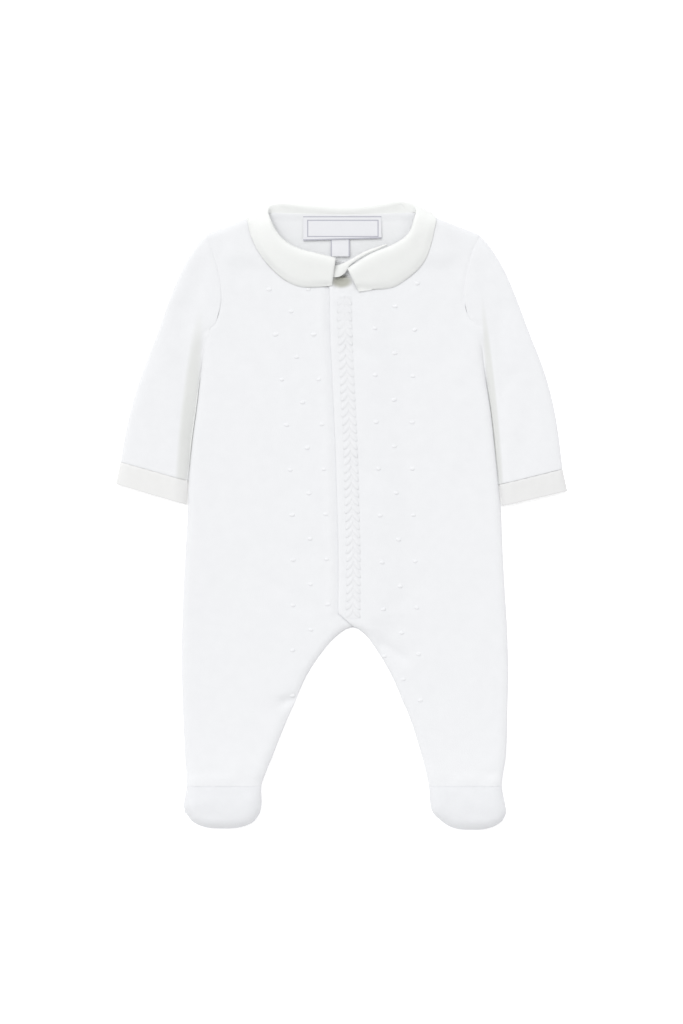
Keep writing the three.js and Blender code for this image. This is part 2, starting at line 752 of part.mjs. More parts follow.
const labelCorners = [[-30.6, 219.4], [32, 221.2], [31.8, 238.4], [-30.6, 238.2]];
const tabCorners = [[-8.4, 207.2], [6.4, 207.2], [6.4, 219.2], [-8.4, 219.2]];

// The braid: chevrons with their point up, as ridges over a plain underside
const braid = { bottomY: -82, topY: 175, width: 12, drop: 8, pitch: 6.4, base: 0.9, ridge: 0.8 };

function braidSolid() {
  const rows = [];
  const count = Math.round((braid.topY - braid.bottomY - braid.drop) / braid.pitch) * 2;
  for (let r = 0; r <= count; r += 1) {
    const level = braid.bottomY + (braid.topY - braid.bottomY) * r / count;
    const ridge = braid.base + (r % 2) * braid.ridge;
    rows.push([-1, -0.5, 0, 0.5, 1].map((s) => {
      const fall = braid.drop * Math.abs(s) * Math.min(1, r / 3, (count - r) / 3 + 0.4);
      const y = Math.max(braid.bottomY, level - fall);
      const x = along(centreFront, y) + s * braid.width / 2;
      return { x, y, ridge: Math.abs(s) === 1 ? braid.base : ridge };
    }));
  }
  const cells = rows.flat();
  const floor = cells.map(({ x, y }) => frontTop(x, y) + seamGap);
  const upper = cells.map(({ x, y, ridge }, k) => new THREE.Vector3(x, y, floor[k] + ridge));
  const lower = cells.map(({ x, y }, k) => new THREE.Vector3(x, y, floor[k]));
  return wallBetween(upper, lower, flatGridFaces(rows.length, 5));
}

// Raised dots: three staggered columns on each front, as low domes on the panel

// Lowest and highest dot of a column, how many it has, and the way it takes: x, y
const dotColumns = {
  left: [
    [-143.6, 180.4, 10, [[-39.3, -144], [-38.8, -36], [-41.2, 38], [-48, 110], [-58, 181]]],
    [-91.2, 162.8, 8, [[-24.4, -92], [-25.2, -19], [-27.6, 55], [-32.4, 100], [-40.4, 163]]],
    [-70.8, 180.4, 8, [[-10.8, -71], [-12, -20], [-14, 38], [-18.3, 110], [-26.8, 181]]],
  ],
  right: [
    [-112.2, 149.4, 8, [[34.5, -113], [32.1, -37], [29.2, 37], [27, 90], [26.5, 150]]],
    [-130.8, 166.8, 9, [[49.2, -131], [45.2, -18], [42, 56], [42, 100], [42.8, 167]]],
    [-147.6, 185.2, 10, [[62.8, -148], [60, -74], [56.4, 37], [57, 112], [60.4, 186]]],
  ],
};
const dot = { length: 4.2, width: 2.9, height: 0.9, depth: 1.2, sides: 7, rings: 4 };

function dotPlaces(side) {
  return dotColumns[side].flatMap(([low, high, count, way]) => {
    return steps(low, high, count - 1).map((y) => [along(way, y), y]);
  });
}

function dome(x, y, z) {
  const geometry = new THREE.SphereGeometry(1, dot.sides, dot.rings);
  geometry.rotateX(Math.PI / 2);
  geometry.scale(dot.length / 2, dot.width / 2, (dot.height + dot.depth) / 2);
  return geometry.translate(x, y, z + (dot.height - dot.depth) / 2);
}

const wasm = await Module();
wasm.setup();

function solidOf(geometry) {
  const bare = geometry.clone();
  bare.deleteAttribute("normal");
  bare.deleteAttribute("uv");
  const merged = mergeVertices(bare, 1e-4);
  const vertProperties = merged.getAttribute("position").array;
  const triVerts = new Uint32Array(merged.getIndex().array);
  return new wasm.Manifold(new wasm.Mesh({ numProp: 3, vertProperties, triVerts }));
}

function dottedFront(side) {
  let solid = solidOf(frontPanel(side));
  for (const [x, y] of dotPlaces(side)) solid = solid.add(solidOf(dome(x, y, frontTop(x, y))));
  const { vertProperties, triVerts } = solid.getMesh();
  const geometry = new THREE.BufferGeometry();
  geometry.setAttribute("position", new THREE.BufferAttribute(new Float32Array(vertProperties), 3));
  geometry.setIndex(Array.from(triVerts));
  geometry.computeVertexNormals();
  return geometry;
}

// Assembly

const cloth = {
  jersey: new THREE.MeshStandardMaterial({ color: 0xf3f4f3, roughness: 0.95, metalness: 0 }),
  woven: new THREE.MeshStandardMaterial({ color: 0xecede8, roughness: 0.9, metalness: 0 }),
  label: new THREE.MeshStandardMaterial({ color: 0xf0f0f2, roughness: 0.7, metalness: 0 }),
};

const garment = new THREE.Group();

function addPiece(name, geometry, material) {
  const mesh = new THREE.Mesh(geometry, material);
  mesh.name = name;
  garment.add(mesh);
}

addPiece("back", backPanel(), cloth.jersey);
for (const side of ["left", "right"]) {
  addPiece(`front_${side}`, dottedFront(side), cloth.jersey);
  addPiece(`foot_upper_${side}`, footUpper(side), cloth.jersey);
  addPiece(`sole_${side}`, sole(side), cloth.jersey);
  addPiece(`sleeve_${side}`, sleeve(side), cloth.jersey);
  addPiece(`cuff_${side}`, cuff(side), cloth.woven);
}
addPiece("braid", braidSolid(), cloth.jersey);
addPiece("collar", collar(), cloth.woven);
addPiece("neck_band", neckBand(), cloth.woven);
addPiece("neck_label", flatPiece(labelCorners, backNeckFace + seamGap, 0.8), cloth.label);
addPiece("size_tab", flatPiece(tabCorners, backNeckFace + seamGap, 0.8), cloth.label);

const box = new THREE.Box3().setFromObject(garment);
const middle = box.getCenter(new THREE.Vector3());
garment.position.set(-middle.x, -middle.y, -box.min.z);

export default garment;
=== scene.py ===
import math
import random

import bmesh
import bpy
from mathutils import Matrix, Vector, noise
from mathutils.bvhtree import BVHTree


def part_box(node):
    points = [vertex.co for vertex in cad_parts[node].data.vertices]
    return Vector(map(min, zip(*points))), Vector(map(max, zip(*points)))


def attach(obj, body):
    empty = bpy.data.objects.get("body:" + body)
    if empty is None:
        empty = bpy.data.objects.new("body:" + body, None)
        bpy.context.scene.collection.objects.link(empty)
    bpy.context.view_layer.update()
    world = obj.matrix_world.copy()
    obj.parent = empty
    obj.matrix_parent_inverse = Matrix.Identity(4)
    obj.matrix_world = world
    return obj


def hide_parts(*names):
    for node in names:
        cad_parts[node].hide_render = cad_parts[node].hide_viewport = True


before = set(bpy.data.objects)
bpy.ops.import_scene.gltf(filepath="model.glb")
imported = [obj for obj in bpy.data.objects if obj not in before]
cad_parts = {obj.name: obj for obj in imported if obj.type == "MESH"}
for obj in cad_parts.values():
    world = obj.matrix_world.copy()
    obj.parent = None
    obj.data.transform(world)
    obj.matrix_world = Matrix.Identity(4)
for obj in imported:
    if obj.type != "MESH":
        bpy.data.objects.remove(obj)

# Footed baby sleepsuit of white jersey, with a woven collar and cuffs, laid flat
# on its back. Sizes are in millimetres, and outlines are measured from a point in
# the middle of the chest. Left and right are as seen from above.
MM = 0.001
LABEL_TOP = 238.4
CHEST_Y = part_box("neck_label")[1].y / MM - LABEL_TOP
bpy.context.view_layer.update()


def place(x, y, z):
    return Vector((x, y + CHEST_Y, z)) * MM


# Camera straight above the chest, a white table and the light of a studio: a wide
# even light from beyond the shoulders, a little to the left, and white walls all round.
VIEW_HEIGHT = 819.2
VIEW_CENTRE = (0, 2.8)
LENS = 120
SENSOR = 36
TABLE_SIZE = 4.0
TABLE_DROP = 0.1
WALLS = (1.0, 1.0, 1.0)
WALL_LIGHT = 0.66
LAMP = {"from": (-250, 480, 1100), "spread": 50, "power": 1.62}

scene = bpy.context.scene
scene.view_settings.view_transform = "Standard"
camera = bpy.data.objects.new("camera", bpy.data.cameras.new("camera"))
camera.data.lens = LENS
camera.data.sensor_width = SENSOR
camera.location = place(*VIEW_CENTRE, VIEW_HEIGHT * LENS / SENSOR)
scene.collection.objects.link(camera)
scene.camera = camera

scene.world = bpy.data.worlds.new("studio")
scene.world.use_nodes = True
walls = scene.world.node_tree.nodes["Background"]
walls.inputs["Color"].default_value = (*WALLS, 1)
walls.inputs["Strength"].default_value = WALL_LIGHT

light = bpy.data.lights.new("window", "SUN")
light.energy = LAMP["power"]
light.angle = math.radians(LAMP["spread"])
window = bpy.data.objects.new("window", light)
window.location = place(*LAMP["from"])
window.rotation_mode = "QUATERNION"
window.rotation_quaternion = (-window.location).to_track_quat("-Z", "Y")
scene.collection.objects.link(window)


class Value:
    """A node's output with arithmetic: each sum adds its Math node."""

    def __init__(self, finish, socket):
        self.finish = finish
        self.socket = socket

    def maths(self, operation, *others):
        values = {k: other for k, other in enumerate([self, *others])}
        return self.finish.node("ShaderNodeMath", {"operation": operation}, values)

    def __add__(self, other):
        return self.maths("ADD", other)

    def __mul__(self, other):
        return self.maths("MULTIPLY", other)

    def __truediv__(self, other):
        return self.maths("DIVIDE", other)

    def __sub__(self, other):
        return self.maths("SUBTRACT", other)

    def __rsub__(self, other):
        return self.finish.node("ShaderNodeMath", {"operation": "SUBTRACT"}, {0: other, 1: self})

    def __abs__(self):
        return self.maths("ABSOLUTE")

    __radd__ = __add__
    __rmul__ = __mul__

    def wave(self):
        """From -1 to 1, once for each whole number."""
        return (self * (2 * math.pi)).maths("SINE")

    def saw(self):
        """Zero at each whole number and 0.5 halfway between two."""
        return abs(self.maths("FRACT") - 0.5) * -1 + 0.5

    def above(self, edge, soft):
        """From 0 to 1 round an edge, soft in width."""
        return self.finish.node(
            "ShaderNodeMapRange",
            {"interpolation_type": "SMOOTHSTEP"},
            {"Value": self, "From Min": edge - soft / 2, "From Max": edge + soft / 2},
        )


class Finish:
    """The material of one cloth: nodes are added by one method."""

    def __init__(self, name, roughness, sheen):
        self.material = bpy.data.materials.new(name)
        self.material.use_nodes = True
        self.tree = self.material.node_tree
        self.shader = self.tree.nodes["Principled BSDF"]
        self.shader.inputs["Roughness"].default_value = roughness
        self.shader.inputs["Sheen Weight"].default_value = sheen
        self.shader.inputs["Specular IOR Level"].default_value = 0.2

    def fill(self, socket, value):
        if isinstance(value, Value):
            self.tree.links.new(value.socket, socket)
        else:
            socket.default_value = value

    def node(self, kind, settings, values, output=0):
        made = self.tree.nodes.new(kind)
        for key, setting in settings.items():
            setattr(made, key, setting)
        for key, value in values.items():
            self.fill(made.inputs[key], value)
        return Value(self, made.outputs[output])

    def axes(self):
        """Object coordinates in millimetres."""
        here = self.node("ShaderNodeTexCoord", {}, {}, "Object")
        large = self.node("ShaderNodeVectorMath", {"operation": "SCALE"}, {0: here, "Scale": 1 / MM})
        return large, [self.node("ShaderNodeSeparateXYZ", {}, {0: large}, k) for k in range(3)]

    def cloudy(self, where, size, detail=2.0):
        """Smooth noise with patches of one size."""
        values = {"Vector": where, "Scale": 1 / size, "Detail": detail, "Roughness": 0.5}
        return self.node("ShaderNodeTexNoise", {}, values, 0)

    def mix(self, share, first, second):
        first, second = (tone if isinstance(tone, Value) else (*tone, 1) for tone in (first, second))
        return self.node("ShaderNodeMix", {"data_type": "RGBA"}, {0: share, 6: first, 7: second}, 2)

    def patch(self, x, y, spot):
        """1 in the middle of a soft oval and 0 outside it, leaning by its slant."""
        dy = (y - CHEST_Y - spot["at"][1]) / spot["down"]
        dx = (x - spot["at"][0] - dy * spot["down"] * spot["slant"]) / spot["across"]
        return 1 - (dx * dx + dy * dy).above(1.0, 1.5)

    def colour(self, value):
        self.fill(self.shader.inputs["Base Color"], value)

    def bump(self, height, depth):
        values = {"Height": height, "Distance": depth * MM, "Strength": 1.0}
        normal = self.node("ShaderNodeBump", {}, values)
        self.fill(self.shader.inputs["Normal"], normal)


table = bpy.data.objects.new("table", bpy.data.meshes.new("table"))
shape = bmesh.new()
bmesh.ops.create_grid(shape, x_segments=1, y_segments=1, size=TABLE_SIZE / 2)
bmesh.ops.translate(shape, verts=shape.verts, vec=(0, 0, -TABLE_DROP * MM))
shape.to_mesh(table.data)
shape.free()
white_table = Finish("white_table", 0.9, 0.0)
TABLE_WHITE = (0.93, 0.93, 0.93, 1)
TABLE_GLOW = 0.32
white_table.colour(TABLE_WHITE)
white_table.shader.inputs["Emission Color"].default_value = (1, 1, 1, 1)
white_table.shader.inputs["Emission Strength"].default_value = TABLE_GLOW
table.data.materials.append(white_table.material)
scene.collection.objects.link(table)

# Jersey: fine cotton single knit, its face outwards. Columns of small V stitches
# run down every panel, over a slight cloudiness that comes from the yarn.
WALE = 0.8
COURSE = 0.62
STITCH_DEPTH = 0.05
CLOUD = 9.0
JERSEY_LIGHT = (0.835, 0.842, 0.858)
JERSEY_DARK = (0.800, 0.807, 0.824)


def jersey_finish(name, light=JERSEY_LIGHT, dark=JERSEY_DARK, lint=0.0, shade=None):
    cloth = Finish(name, 0.95, 0.08)
    where, (x, y, _) = cloth.axes()
    tone = cloth.mix(cloth.cloudy(where, CLOUD, 4.0), dark, light)
    if shade:
        tone = cloth.mix(cloth.patch(x, y, shade) * shade["depth"], tone, shade["colour"])
    cloth.colour(tone)
    legs = (x / WALE).saw()
    loops = (y / COURSE + legs * 1.4).wave() * 0.5
    fuzz = cloth.cloudy(where, 0.9) * (1.2 + lint) + cloth.cloudy(where, 5.0) * (1.5 + lint)
    cloth.bump(legs * 1.2 + loops + fuzz, STITCH_DEPTH)
    return cloth


jersey = jersey_finish("white_jersey")

# Fronts: one jersey panel each from the shoulder to the ankle. The right one closes
# over the left one, 12 mm left of the middle, with a soft turned edge.
CLOTH = 1.4
SEAM_GAP = 0.3
LAYER = CLOTH + SEAM_GAP
BODY = 6.4
FOLD = 6
SEAM_SHARE = 0.45
LAP = 12
LAP_GAP = 0.6
LAP_SLOPE = 32
EDGE_RIDGE = {"from_edge": 3.2, "width": 2.2, "height": 0.25}
EDGE_ROLL = {"width": 2.2, "drop": 1.1}
UNDER_RIDGE = {"from_edge": 5.0, "width": 2.8, "height": 0.55}
UNDER_GROOVE = {"from_edge": 1.2, "width": 1.7, "depth": 0.8}
ARMHOLE_SEAM = {"width": 1.8, "depth": 0.35}
ANKLE_RIDGE = {"above": 5.0, "width": 4.2, "height": 0.9}
ANKLE_SEAM = {"width": 1.0, "depth": 0.2}
CROTCH = (9, -88.4)
LAP_CORNER_Y = -78
HIP_Y = (-80, -70)
CHEST_TOP_Y = 150
MID_ARMHOLE_Y = 190
ANKLE_Y = -215.6
TOE_CORNER_Y = -243.6
TOE_Y = {"left": -249.8, "right": -250.8}
TOE_SHARPNESS = 3

# Outlines: x, y, going up in y
SIDE_SEAM = {
    "left": [
        (-119.6, -243.6), (-124.0, -237.2), (-125.9, -230.8), (-123.6, -215.6), (-125.2, -190),
        (-126.8, -155.6), (-127.6, -125), (-127.4, -85), (-126, -52), (-124.2, -19.6), (-122.8, 4.4),
        (-122.2, 23.6), (-119, 58.8), (-114.5, 93.5), (-109.2, 146),
    ],
    "right": [
        (128.4, -243.6), (131.4, -237.2), (130.6, -230.8), (128.2, -215.6), (131.6, -190),
        (132.6, -155.6), (133.2, -125), (132.2, -88), (130, -52), (128.4, -19.6), (127.4, 4.4),
        (125.4, 23.6), (123.3, 44.4), (119.2, 82.8), (114, 118), (111.6, 151),
    ],
}
INSEAM = {
    "left": [
        (-69.2, -243.6), (-65.2, -237.2), (-63.6, -230), (-63.8, -215.6), (-59.6, -203.6),
        (-53.2, -187.6), (-43.6, -163.6), (-36.4, -147.6), (-30, -131.6), (-20.4, -115.6),
        (-7.6, -99.6), (0.4, -92.4), (9, -88.4),
    ],
    "right": [
        (79.6, -243.6), (73, -237.2), (70.8, -230), (69.6, -215.6), (65.2, -195.6), (60.4, -179.6),
        (55.6, -163.6), (48.4, -147.6), (42, -131.6), (33.2, -115.6), (22.8, -99.6), (16.4, -92.4),
        (9, -88.4),
    ],
}
ARMHOLE = {
    "left": [
        (-109.2, 146), (-101.5, 153), (-97.4, 163.6), (-96.6, 176), (-98, 190), (-102.6, 207),
        (-108.4, 224.8),
    ],
    "right": [
        (111.6, 151), (103.6, 156), (99.2, 165), (98.4, 177), (99.8, 190), (104, 207), (110, 224.8),
    ],
}
CENTRE_FRONT = [
    (9, -88.4), (9.4, -35.6), (8.6, 0.4), (6.8, 60.4), (4.4, 110.8), (2.8, 148.4), (2, 205), (2, 240),
]
NECK = {
    "left": [
        (14, 200), (0, 202.5), (-18, 205.5), (-34, 209), (-47.5, 216.5), (-56.5, 228), (-60, 236.6),
        (-65.5, 241.2),
    ],
    "right": [
        (-10, 190), (0, 189.8), (8.6, 192.4), (24.6, 204.2), (41.4, 211.8), (54, 220.6), (59.4, 230.6),
        (66.4, 241.3),
    ],
}

# Height of the front over the table and width of its rounded edge: value, y
HEIGHT_ALONG = [
    (16, -252), (16.6, -242), (15.4, -229), (12, -215.6), (10.4, -203), (8.6, -185), (7.4, -160),
    (6.7, -120), (BODY, -60), (BODY, 260),
]
ROUND_ALONG = [
    (9, -252), (9, -238), (9.5, -225), (10, -215.6), (9.6, -203), (8, -185), (6.8, -160),
    (6.2, -120), (FOLD, -60), (FOLD, 260),
]

# Creases of the fronts, as soft troughs: x, y of both ends, width and depth.
# A depth below zero is a ridge.
FRONT_CREASES = {
    "left": [
        (-34, -146, -46, -149, 4.0, 2.4), (-46, -150, -62, -156, 7.0, 0.7), (-30, -134, -42, -163, 8.0, 0.8),
        (-66, -213, -80, -212, 5.0, 1.6), (-53, -53, -29, -74, 7.0, 0.5), (-119, -205, -108, -212, 5.0, 0.8),
        (-86, 196, -64, 150, 9.0, 0.4), (-94, 168, -80, 120, 7.0, 0.45), (-112, 60, -92, 20, 8.0, 0.35),
        (-100, -60, -70, -150, 10.0, 0.4), (-44, 170, -36, 120, 9.0, 0.3), (-20, -30, -60, -20, 9.0, 0.35),
    ],
    "right": [
        (33, -103, 48, -113, 5.0, 1.7), (6, 136, 20, 128, 6.0, 0.7), (11, 44, 24, 30, 7.0, 0.8),
        (72, -213, 86, -212, 5.0, 1.2), (122, -206, 110, -212, 5.0, 0.8), (40, -74, 70, -48, 8.0, 0.45),
        (84, 196, 66, 150, 9.0, 0.4), (96, 168, 84, 122, 7.0, 0.45), (116, 70, 96, 24, 8.0, 0.35),
        (104, -62, 76, -150, 10.0, 0.4), (34, 176, 40, 120, 9.0, 0.3), (30, -20, 60, -28, 9.0, 0.35),
    ],
}
# The hollow under the neck band, where the closed edge pulls the cloth down
HOLLOW = {"at": (-0.2, 188), "across": 7.5, "down": 5.5, "depth": 3.7}
HOLLOW_PLEATS = [(1.4, 186.5, 0.2, 179.5), (5.2, 186, 7.4, 181), (-4.2, 185.5, -5.4, 180.5)]
# Painted shade: the fronts' base colour darkens to olive in the hollow under the neck band.
HOLLOW_SHADE = {
    "at": (0, 186.8), "across": 7.6, "down": 4.8, "slant": 0, "depth": 0.7, "colour": (0.34, 0.34, 0.26),
}


def along(rows, y):
    """A smooth curve through rows of value and y."""
    k = 0
    while k < len(rows) - 2 and y > rows[k + 1][1]:
        k += 1
    (start, low), (end, high) = rows[k], rows[k + 1]
    before, after = rows[max(0, k - 1)], rows[min(len(rows) - 1, k + 2)]
    run = high - low
    leave = (end - before[0]) / (high - before[1]) * run
    arrive = (after[0] - start) / (after[1] - low) * run
    t = min(1, max(0, (y - low) / run))
    rise = 3 * t * t - 2 * t ** 3
    return start + (end - start) * rise + leave * t * (1 - t) ** 2 - arrive * t * t * (1 - t)


def soft(t):
    s = min(1, max(0, t))
    return s * s * (3 - 2 * s)


def roll(t):
    """Rise of a folded edge: 0 at the fold, 1 where the cloth lies flat."""
    return 1 if t >= 1 else math.sqrt(max(0, 1 - (1 - t) ** 2))


def steps(low, high, count, bunch=1):
    return [low + (high - low) * (1 - (1 - k / count) ** bunch) for k in range(count + 1)]


def curve_through(points, count=240):
    """Many points of the smooth curve through a few, with the length up to each."""
    made = []
    last = len(points) - 1
    for step in range(count + 1):
        at = last * step / count
        k = min(last - 1, int(at))
        t = at - k
        p0, p1, p2, p3 = (Vector(points[min(last, max(0, k + j))]) for j in (-1, 0, 1, 2))
        leave, arrive = (p2 - p0) / 2, (p3 - p1) / 2
        made.append(p1 + leave * t + (3 * (p2 - p1) - 2 * leave - arrive) * t ** 2
                    + (2 * (p1 - p2) + leave + arrive) * t ** 3)
    lengths = [0]
    for a, b in zip(made, made[1:]):
        lengths.append(lengths[-1] + (b - a).length)
    return made, lengths


def point_at(curve, share):
    """The point at a share of the curve's length."""
    points, lengths = curve
    goal = lengths[-1] * share
    k = next((k for k, length in enumerate(lengths) if length >= goal), len(lengths) - 1)
    if k == 0:
        return points[0]
    t = (goal - lengths[k - 1]) / (lengths[k] - lengths[k - 1])
    return points[k - 1].lerp(points[k], t)


def across(start, end, from_start, from_end, between, bow=0, sharp=2):
    """Points of a row: columns keep their distance from its ends, bow moves its middle."""
    length = math.hypot(end[0] - start[0], end[1] - start[1])
    shrink = min(1, length / (from_start[-1] + from_end[0] + 8))
    first = [d * shrink / length for d in from_start]
    last = [1 - d * shrink / length for d in from_end]
    inner = steps(first[-1], last[0], between + 1)[1:-1]
    return [
        (start[0] + (end[0] - start[0]) * u,
         start[1] + (end[1] - start[1]) * u + bow * (1 - abs(2 * u - 1) ** sharp))
        for u in [*first, *inner, *last]
    ]


def foot_ends(side):
    return [(along(rows[side], TOE_CORNER_Y), TOE_CORNER_Y) for rows in (SIDE_SEAM, INSEAM)]


def fold_tree(*lines):
    """Folded edges as upright strips, to measure the distance to them."""
    points, faces = [], []
    for line in lines:
        first = len(points)
        points += [(x, y, z) for x, y in line for z in (-1, 1)]
        faces += [[first + 2 * k + j for j in (0, 1, 3, 2)] for k in range(len(line) - 1)]
    return BVHTree.FromPolygons(points, faces)


def edge_line(rows, low, high):
    return [(along(rows, y), y) for y in steps(low, high, int((high - low) / 1.5))]


SIDES = ("left", "right")
TOE_COLUMNS = [0, 0.7, 1.5, 2.6, 4, 6, 8.5, 11]
toe_lines = {
    side: across(
        *foot_ends(side), TOE_COLUMNS, TOE_COLUMNS[::-1], 20, TOE_Y[side] - TOE_CORNER_Y, TOE_SHARPNESS
    )
    for side in SIDES
}
inseams = [edge_line(INSEAM[side], TOE_CORNER_Y, CROTCH[1]) for side in SIDES]
front_folds = {
    side: fold_tree(
        edge_line(SIDE_SEAM[side], TOE_CORNER_Y, SIDE_SEAM[side][-1][1]),
        *inseams,
        [ARMHOLE[side][-1], NECK[side][-1]],
    )
    for side in SIDES
}
armhole_lines = {
    side: fold_tree(edge_line(ARMHOLE[side], ARMHOLE[side][0][1], ARMHOLE[side][-1][1])) for side in SIDES
}


def away(tree, x, y):
    return tree.find_nearest((x, y, 0))[3]


def towards(tree, x, y):
    """Unit step to the nearest point of a line."""
    near = tree.find_nearest((x, y, 0))[0]
    return Vector((near.x - x, near.y - y)).normalized()


def opening_x(y):
    if y < LAP_CORNER_Y:
        t = max(0, (y - CROTCH[1]) / (LAP_CORNER_Y - CROTCH[1]))
        return CROTCH[0] - (CROTCH[0] - opening_x(LAP_CORNER_Y)) * t
    return along(CENTRE_FRONT, y) - LAP


def underlap_x(y):
    if y < LAP_CORNER_Y:
        t = max(0, (y - CROTCH[1]) / (LAP_CORNER_Y - CROTCH[1]))
        return CROTCH[0] + (underlap_x(LAP_CORNER_Y) - CROTCH[0]) * t
    return along(CENTRE_FRONT, y) + LAP


def overlap_rise(x, y):
    """The right front rises by one layer over the left one."""
    past = max(0, x - underlap_x(y) - 4) / LAP_SLOPE
    below = max(0, CROTCH[1] - y) / 11
    apex = 1 - soft(math.hypot(x - CROTCH[0], y - CROTCH[1]) / 7)
    return (CLOTH + LAP_GAP) * (1 - soft(math.hypot(past, below))) + LAP_GAP * apex


def collar_lift(x, y):
    """The body rises where the back of the collar lies under it."""
    return LAYER * soft((y - 194) / 16) * (1 - soft((abs(x) - 80) / 18))


def creased(x, y, creases):
    """Height of soft troughs, each between two points."""
    height = 0
    for x0, y0, x1, y1, width, depth in creases:
        run = (x1 - x0, y1 - y0)
        t = ((x - x0) * run[0] + (y - y0) * run[1]) / (run[0] ** 2 + run[1] ** 2)
        t = min(1, max(0, t))
        gap = math.hypot(x - x0 - run[0] * t, y - y0 - run[1] * t)
        if gap < 3 * width:
            height -= depth * math.exp(-(gap / width) ** 2)
    return height


def rumple(x, y):
    """Slow unevenness of cloth that was smoothed by hand."""
    return 0.35 * noise.noise(Vector((x / 38, y / 60, 3))) + 0.12 * noise.noise(Vector((x / 13, y / 17, 9)))


def hollow(x, y):
    dx, dy = x - HOLLOW["at"][0], y - HOLLOW["at"][1]
    fall = HOLLOW["down"] if dy < 0 else 20
    depth = -HOLLOW["depth"] * math.exp(-(dx / HOLLOW["across"]) ** 2 - (dy / fall) ** 2)
    pleats = creased(x, y, [(*pleat, 0.9, 1.0) for pleat in HOLLOW_PLEATS])
    return depth + pleats


def front_z(side, x, y, folds=None):
    """Height of the outer face of a front or foot."""
    height = along(HEIGHT_ALONG, y)
    seam = height * SEAM_SHARE + SEAM_GAP / 2
    share = roll(away(folds or front_folds[side], x, y) / along(ROUND_ALONG, y))
    return seam + (height - seam) * share, share


def swell(distance, width):
    """1 on a line, fading out to both sides of it."""
    return math.exp(-(distance / width) ** 2)


def unevenness(side, x, y):
    return creased(x, y, FRONT_CREASES[side]) + rumple(x, y)


def dressed_z(side, x, y, dent=1):
    """The same with the lap, the creases and the sewn edges."""
    z, share = front_z(side, x, y)
    z += collar_lift(x, y)
    z += share * (unevenness(side, x, y) + hollow(x, y) * dent)
    z -= ARMHOLE_SEAM["depth"] * swell(away(armhole_lines[side], x, y), ARMHOLE_SEAM["width"]) * share
    above_ankle = y - ANKLE_Y
    ridge = ANKLE_RIDGE["height"] * swell(above_ankle - ANKLE_RIDGE["above"], ANKLE_RIDGE["width"])
    z += share * (ridge - ANKLE_SEAM["depth"] * swell(above_ankle, ANKLE_SEAM["width"]))
    from_opening = x - opening_x(y)
    if side == "right":
        ridge = EDGE_RIDGE["height"] * swell(from_opening - EDGE_RIDGE["from_edge"], EDGE_RIDGE["width"])
        z += overlap_rise(x, y) + ridge
        return z - EDGE_ROLL["drop"] * (1 - roll(max(0, from_opening) / EDGE_ROLL["width"]))
    lapped = soft((y - CROTCH[1]) / 12)
    ridge = UNDER_RIDGE["height"] * swell(from_opening + UNDER_RIDGE["from_edge"], UNDER_RIDGE["width"])
    groove = UNDER_GROOVE["depth"] * swell(from_opening + UNDER_GROOVE["from_edge"], UNDER_GROOVE["width"])
    return z + lapped * (ridge - groove)


def half_rows(side, low_y, middle_x, neck):
    """Rows from the ankle to the shoulder: a side point and a middle point."""
    def side_at(y):
        return along(SIDE_SEAM[side], y), y

    rows = [
        (side_at(outer), (along(INSEAM[side], inner), inner))
        for outer, inner in zip(steps(low_y, HIP_Y[0], 64, 1.15), steps(low_y, CROTCH[1], 64, 1.5))
    ]
    for share in steps(0, 1, 7)[1:]:
        y = CROTCH[1] + (LAP_CORNER_Y - CROTCH[1]) * share
        rows.append((side_at(HIP_Y[0] + (HIP_Y[1] - HIP_Y[0]) * share), (middle_x(y), y)))
    top = SIDE_SEAM[side][-1][1]
    for outer, y in list(zip(steps(HIP_Y[1], top, 100), steps(LAP_CORNER_Y, CHEST_TOP_Y, 100)))[1:]:
        rows.append((side_at(outer), (middle_x(y), y)))
    start = point_at(neck, 0)
    for outer, y in list(zip(steps(top, MID_ARMHOLE_Y, 26), steps(CHEST_TOP_Y, start.y, 26)))[1:]:
        rows.append(((along(ARMHOLE[side], outer), outer), (middle_x(y), y)))
    shoulder = ARMHOLE[side][-1][1]
    for outer, share in list(zip(steps(MID_ARMHOLE_Y, shoulder, 34, 2), steps(0, 1, 34, 2)))[1:]:
        rows.append(((along(ARMHOLE[side], outer), outer), tuple(point_at(neck, share))))
    return rows


def panel(name, plan, height_at):
    """A grid of cloth laid over plan rows, each a list of x, y."""
    shape = bmesh.new()
    columns, rows = len(plan[0]), len(plan)
    bmesh.ops.create_grid(shape, x_segments=columns - 1, y_segments=rows - 1, size=0.5)
    for vertex in shape.verts:
        column = round((vertex.co.x + 0.5) * (columns - 1))
        row = round((vertex.co.y + 0.5) * (rows - 1))
        x, y = plan[row][column]
        vertex.co = place(x, y, height_at(x, y))
    bmesh.ops.remove_doubles(shape, verts=shape.verts, dist=0.02 * MM)
    bmesh.ops.recalc_face_normals(shape, faces=shape.faces)
    if sum(face.normal.z for face in shape.faces) < 0:
        bmesh.ops.reverse_faces(shape, faces=shape.faces)
    return piece_of(name, shape)


def piece_of(name, shape):
    mesh = bpy.data.meshes.new(name)
    shape.to_mesh(mesh)
    shape.free()
    mesh.shade_smooth()
    made = bpy.data.objects.new(name, mesh)
    scene.collection.objects.link(made)
    return made


def baked(piece):
    """The piece with its modifiers made real, and its edges kept sharp where they are."""
    made = bpy.data.meshes.new_from_object(piece.evaluated_get(bpy.context.evaluated_depsgraph_get()))
    piece.modifiers.clear()
    piece.data = made
    made.shade_smooth()
    made.set_sharp_from_angle(angle=math.radians(55))
    return piece


def thicken(piece, thickness=CLOTH):
    wall = piece.modifiers.new("wall", "SOLIDIFY")
    wall.thickness = thickness * MM
    wall.offset = -1
    return baked(piece)


def sew(piece, finish, slot, *nodes):
    """The piece takes its cloth and stands for its solid."""
    piece.data.materials.clear()
    piece.data.materials.append(finish.material)
    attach(piece, "root")
    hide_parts(*nodes)
    return piece


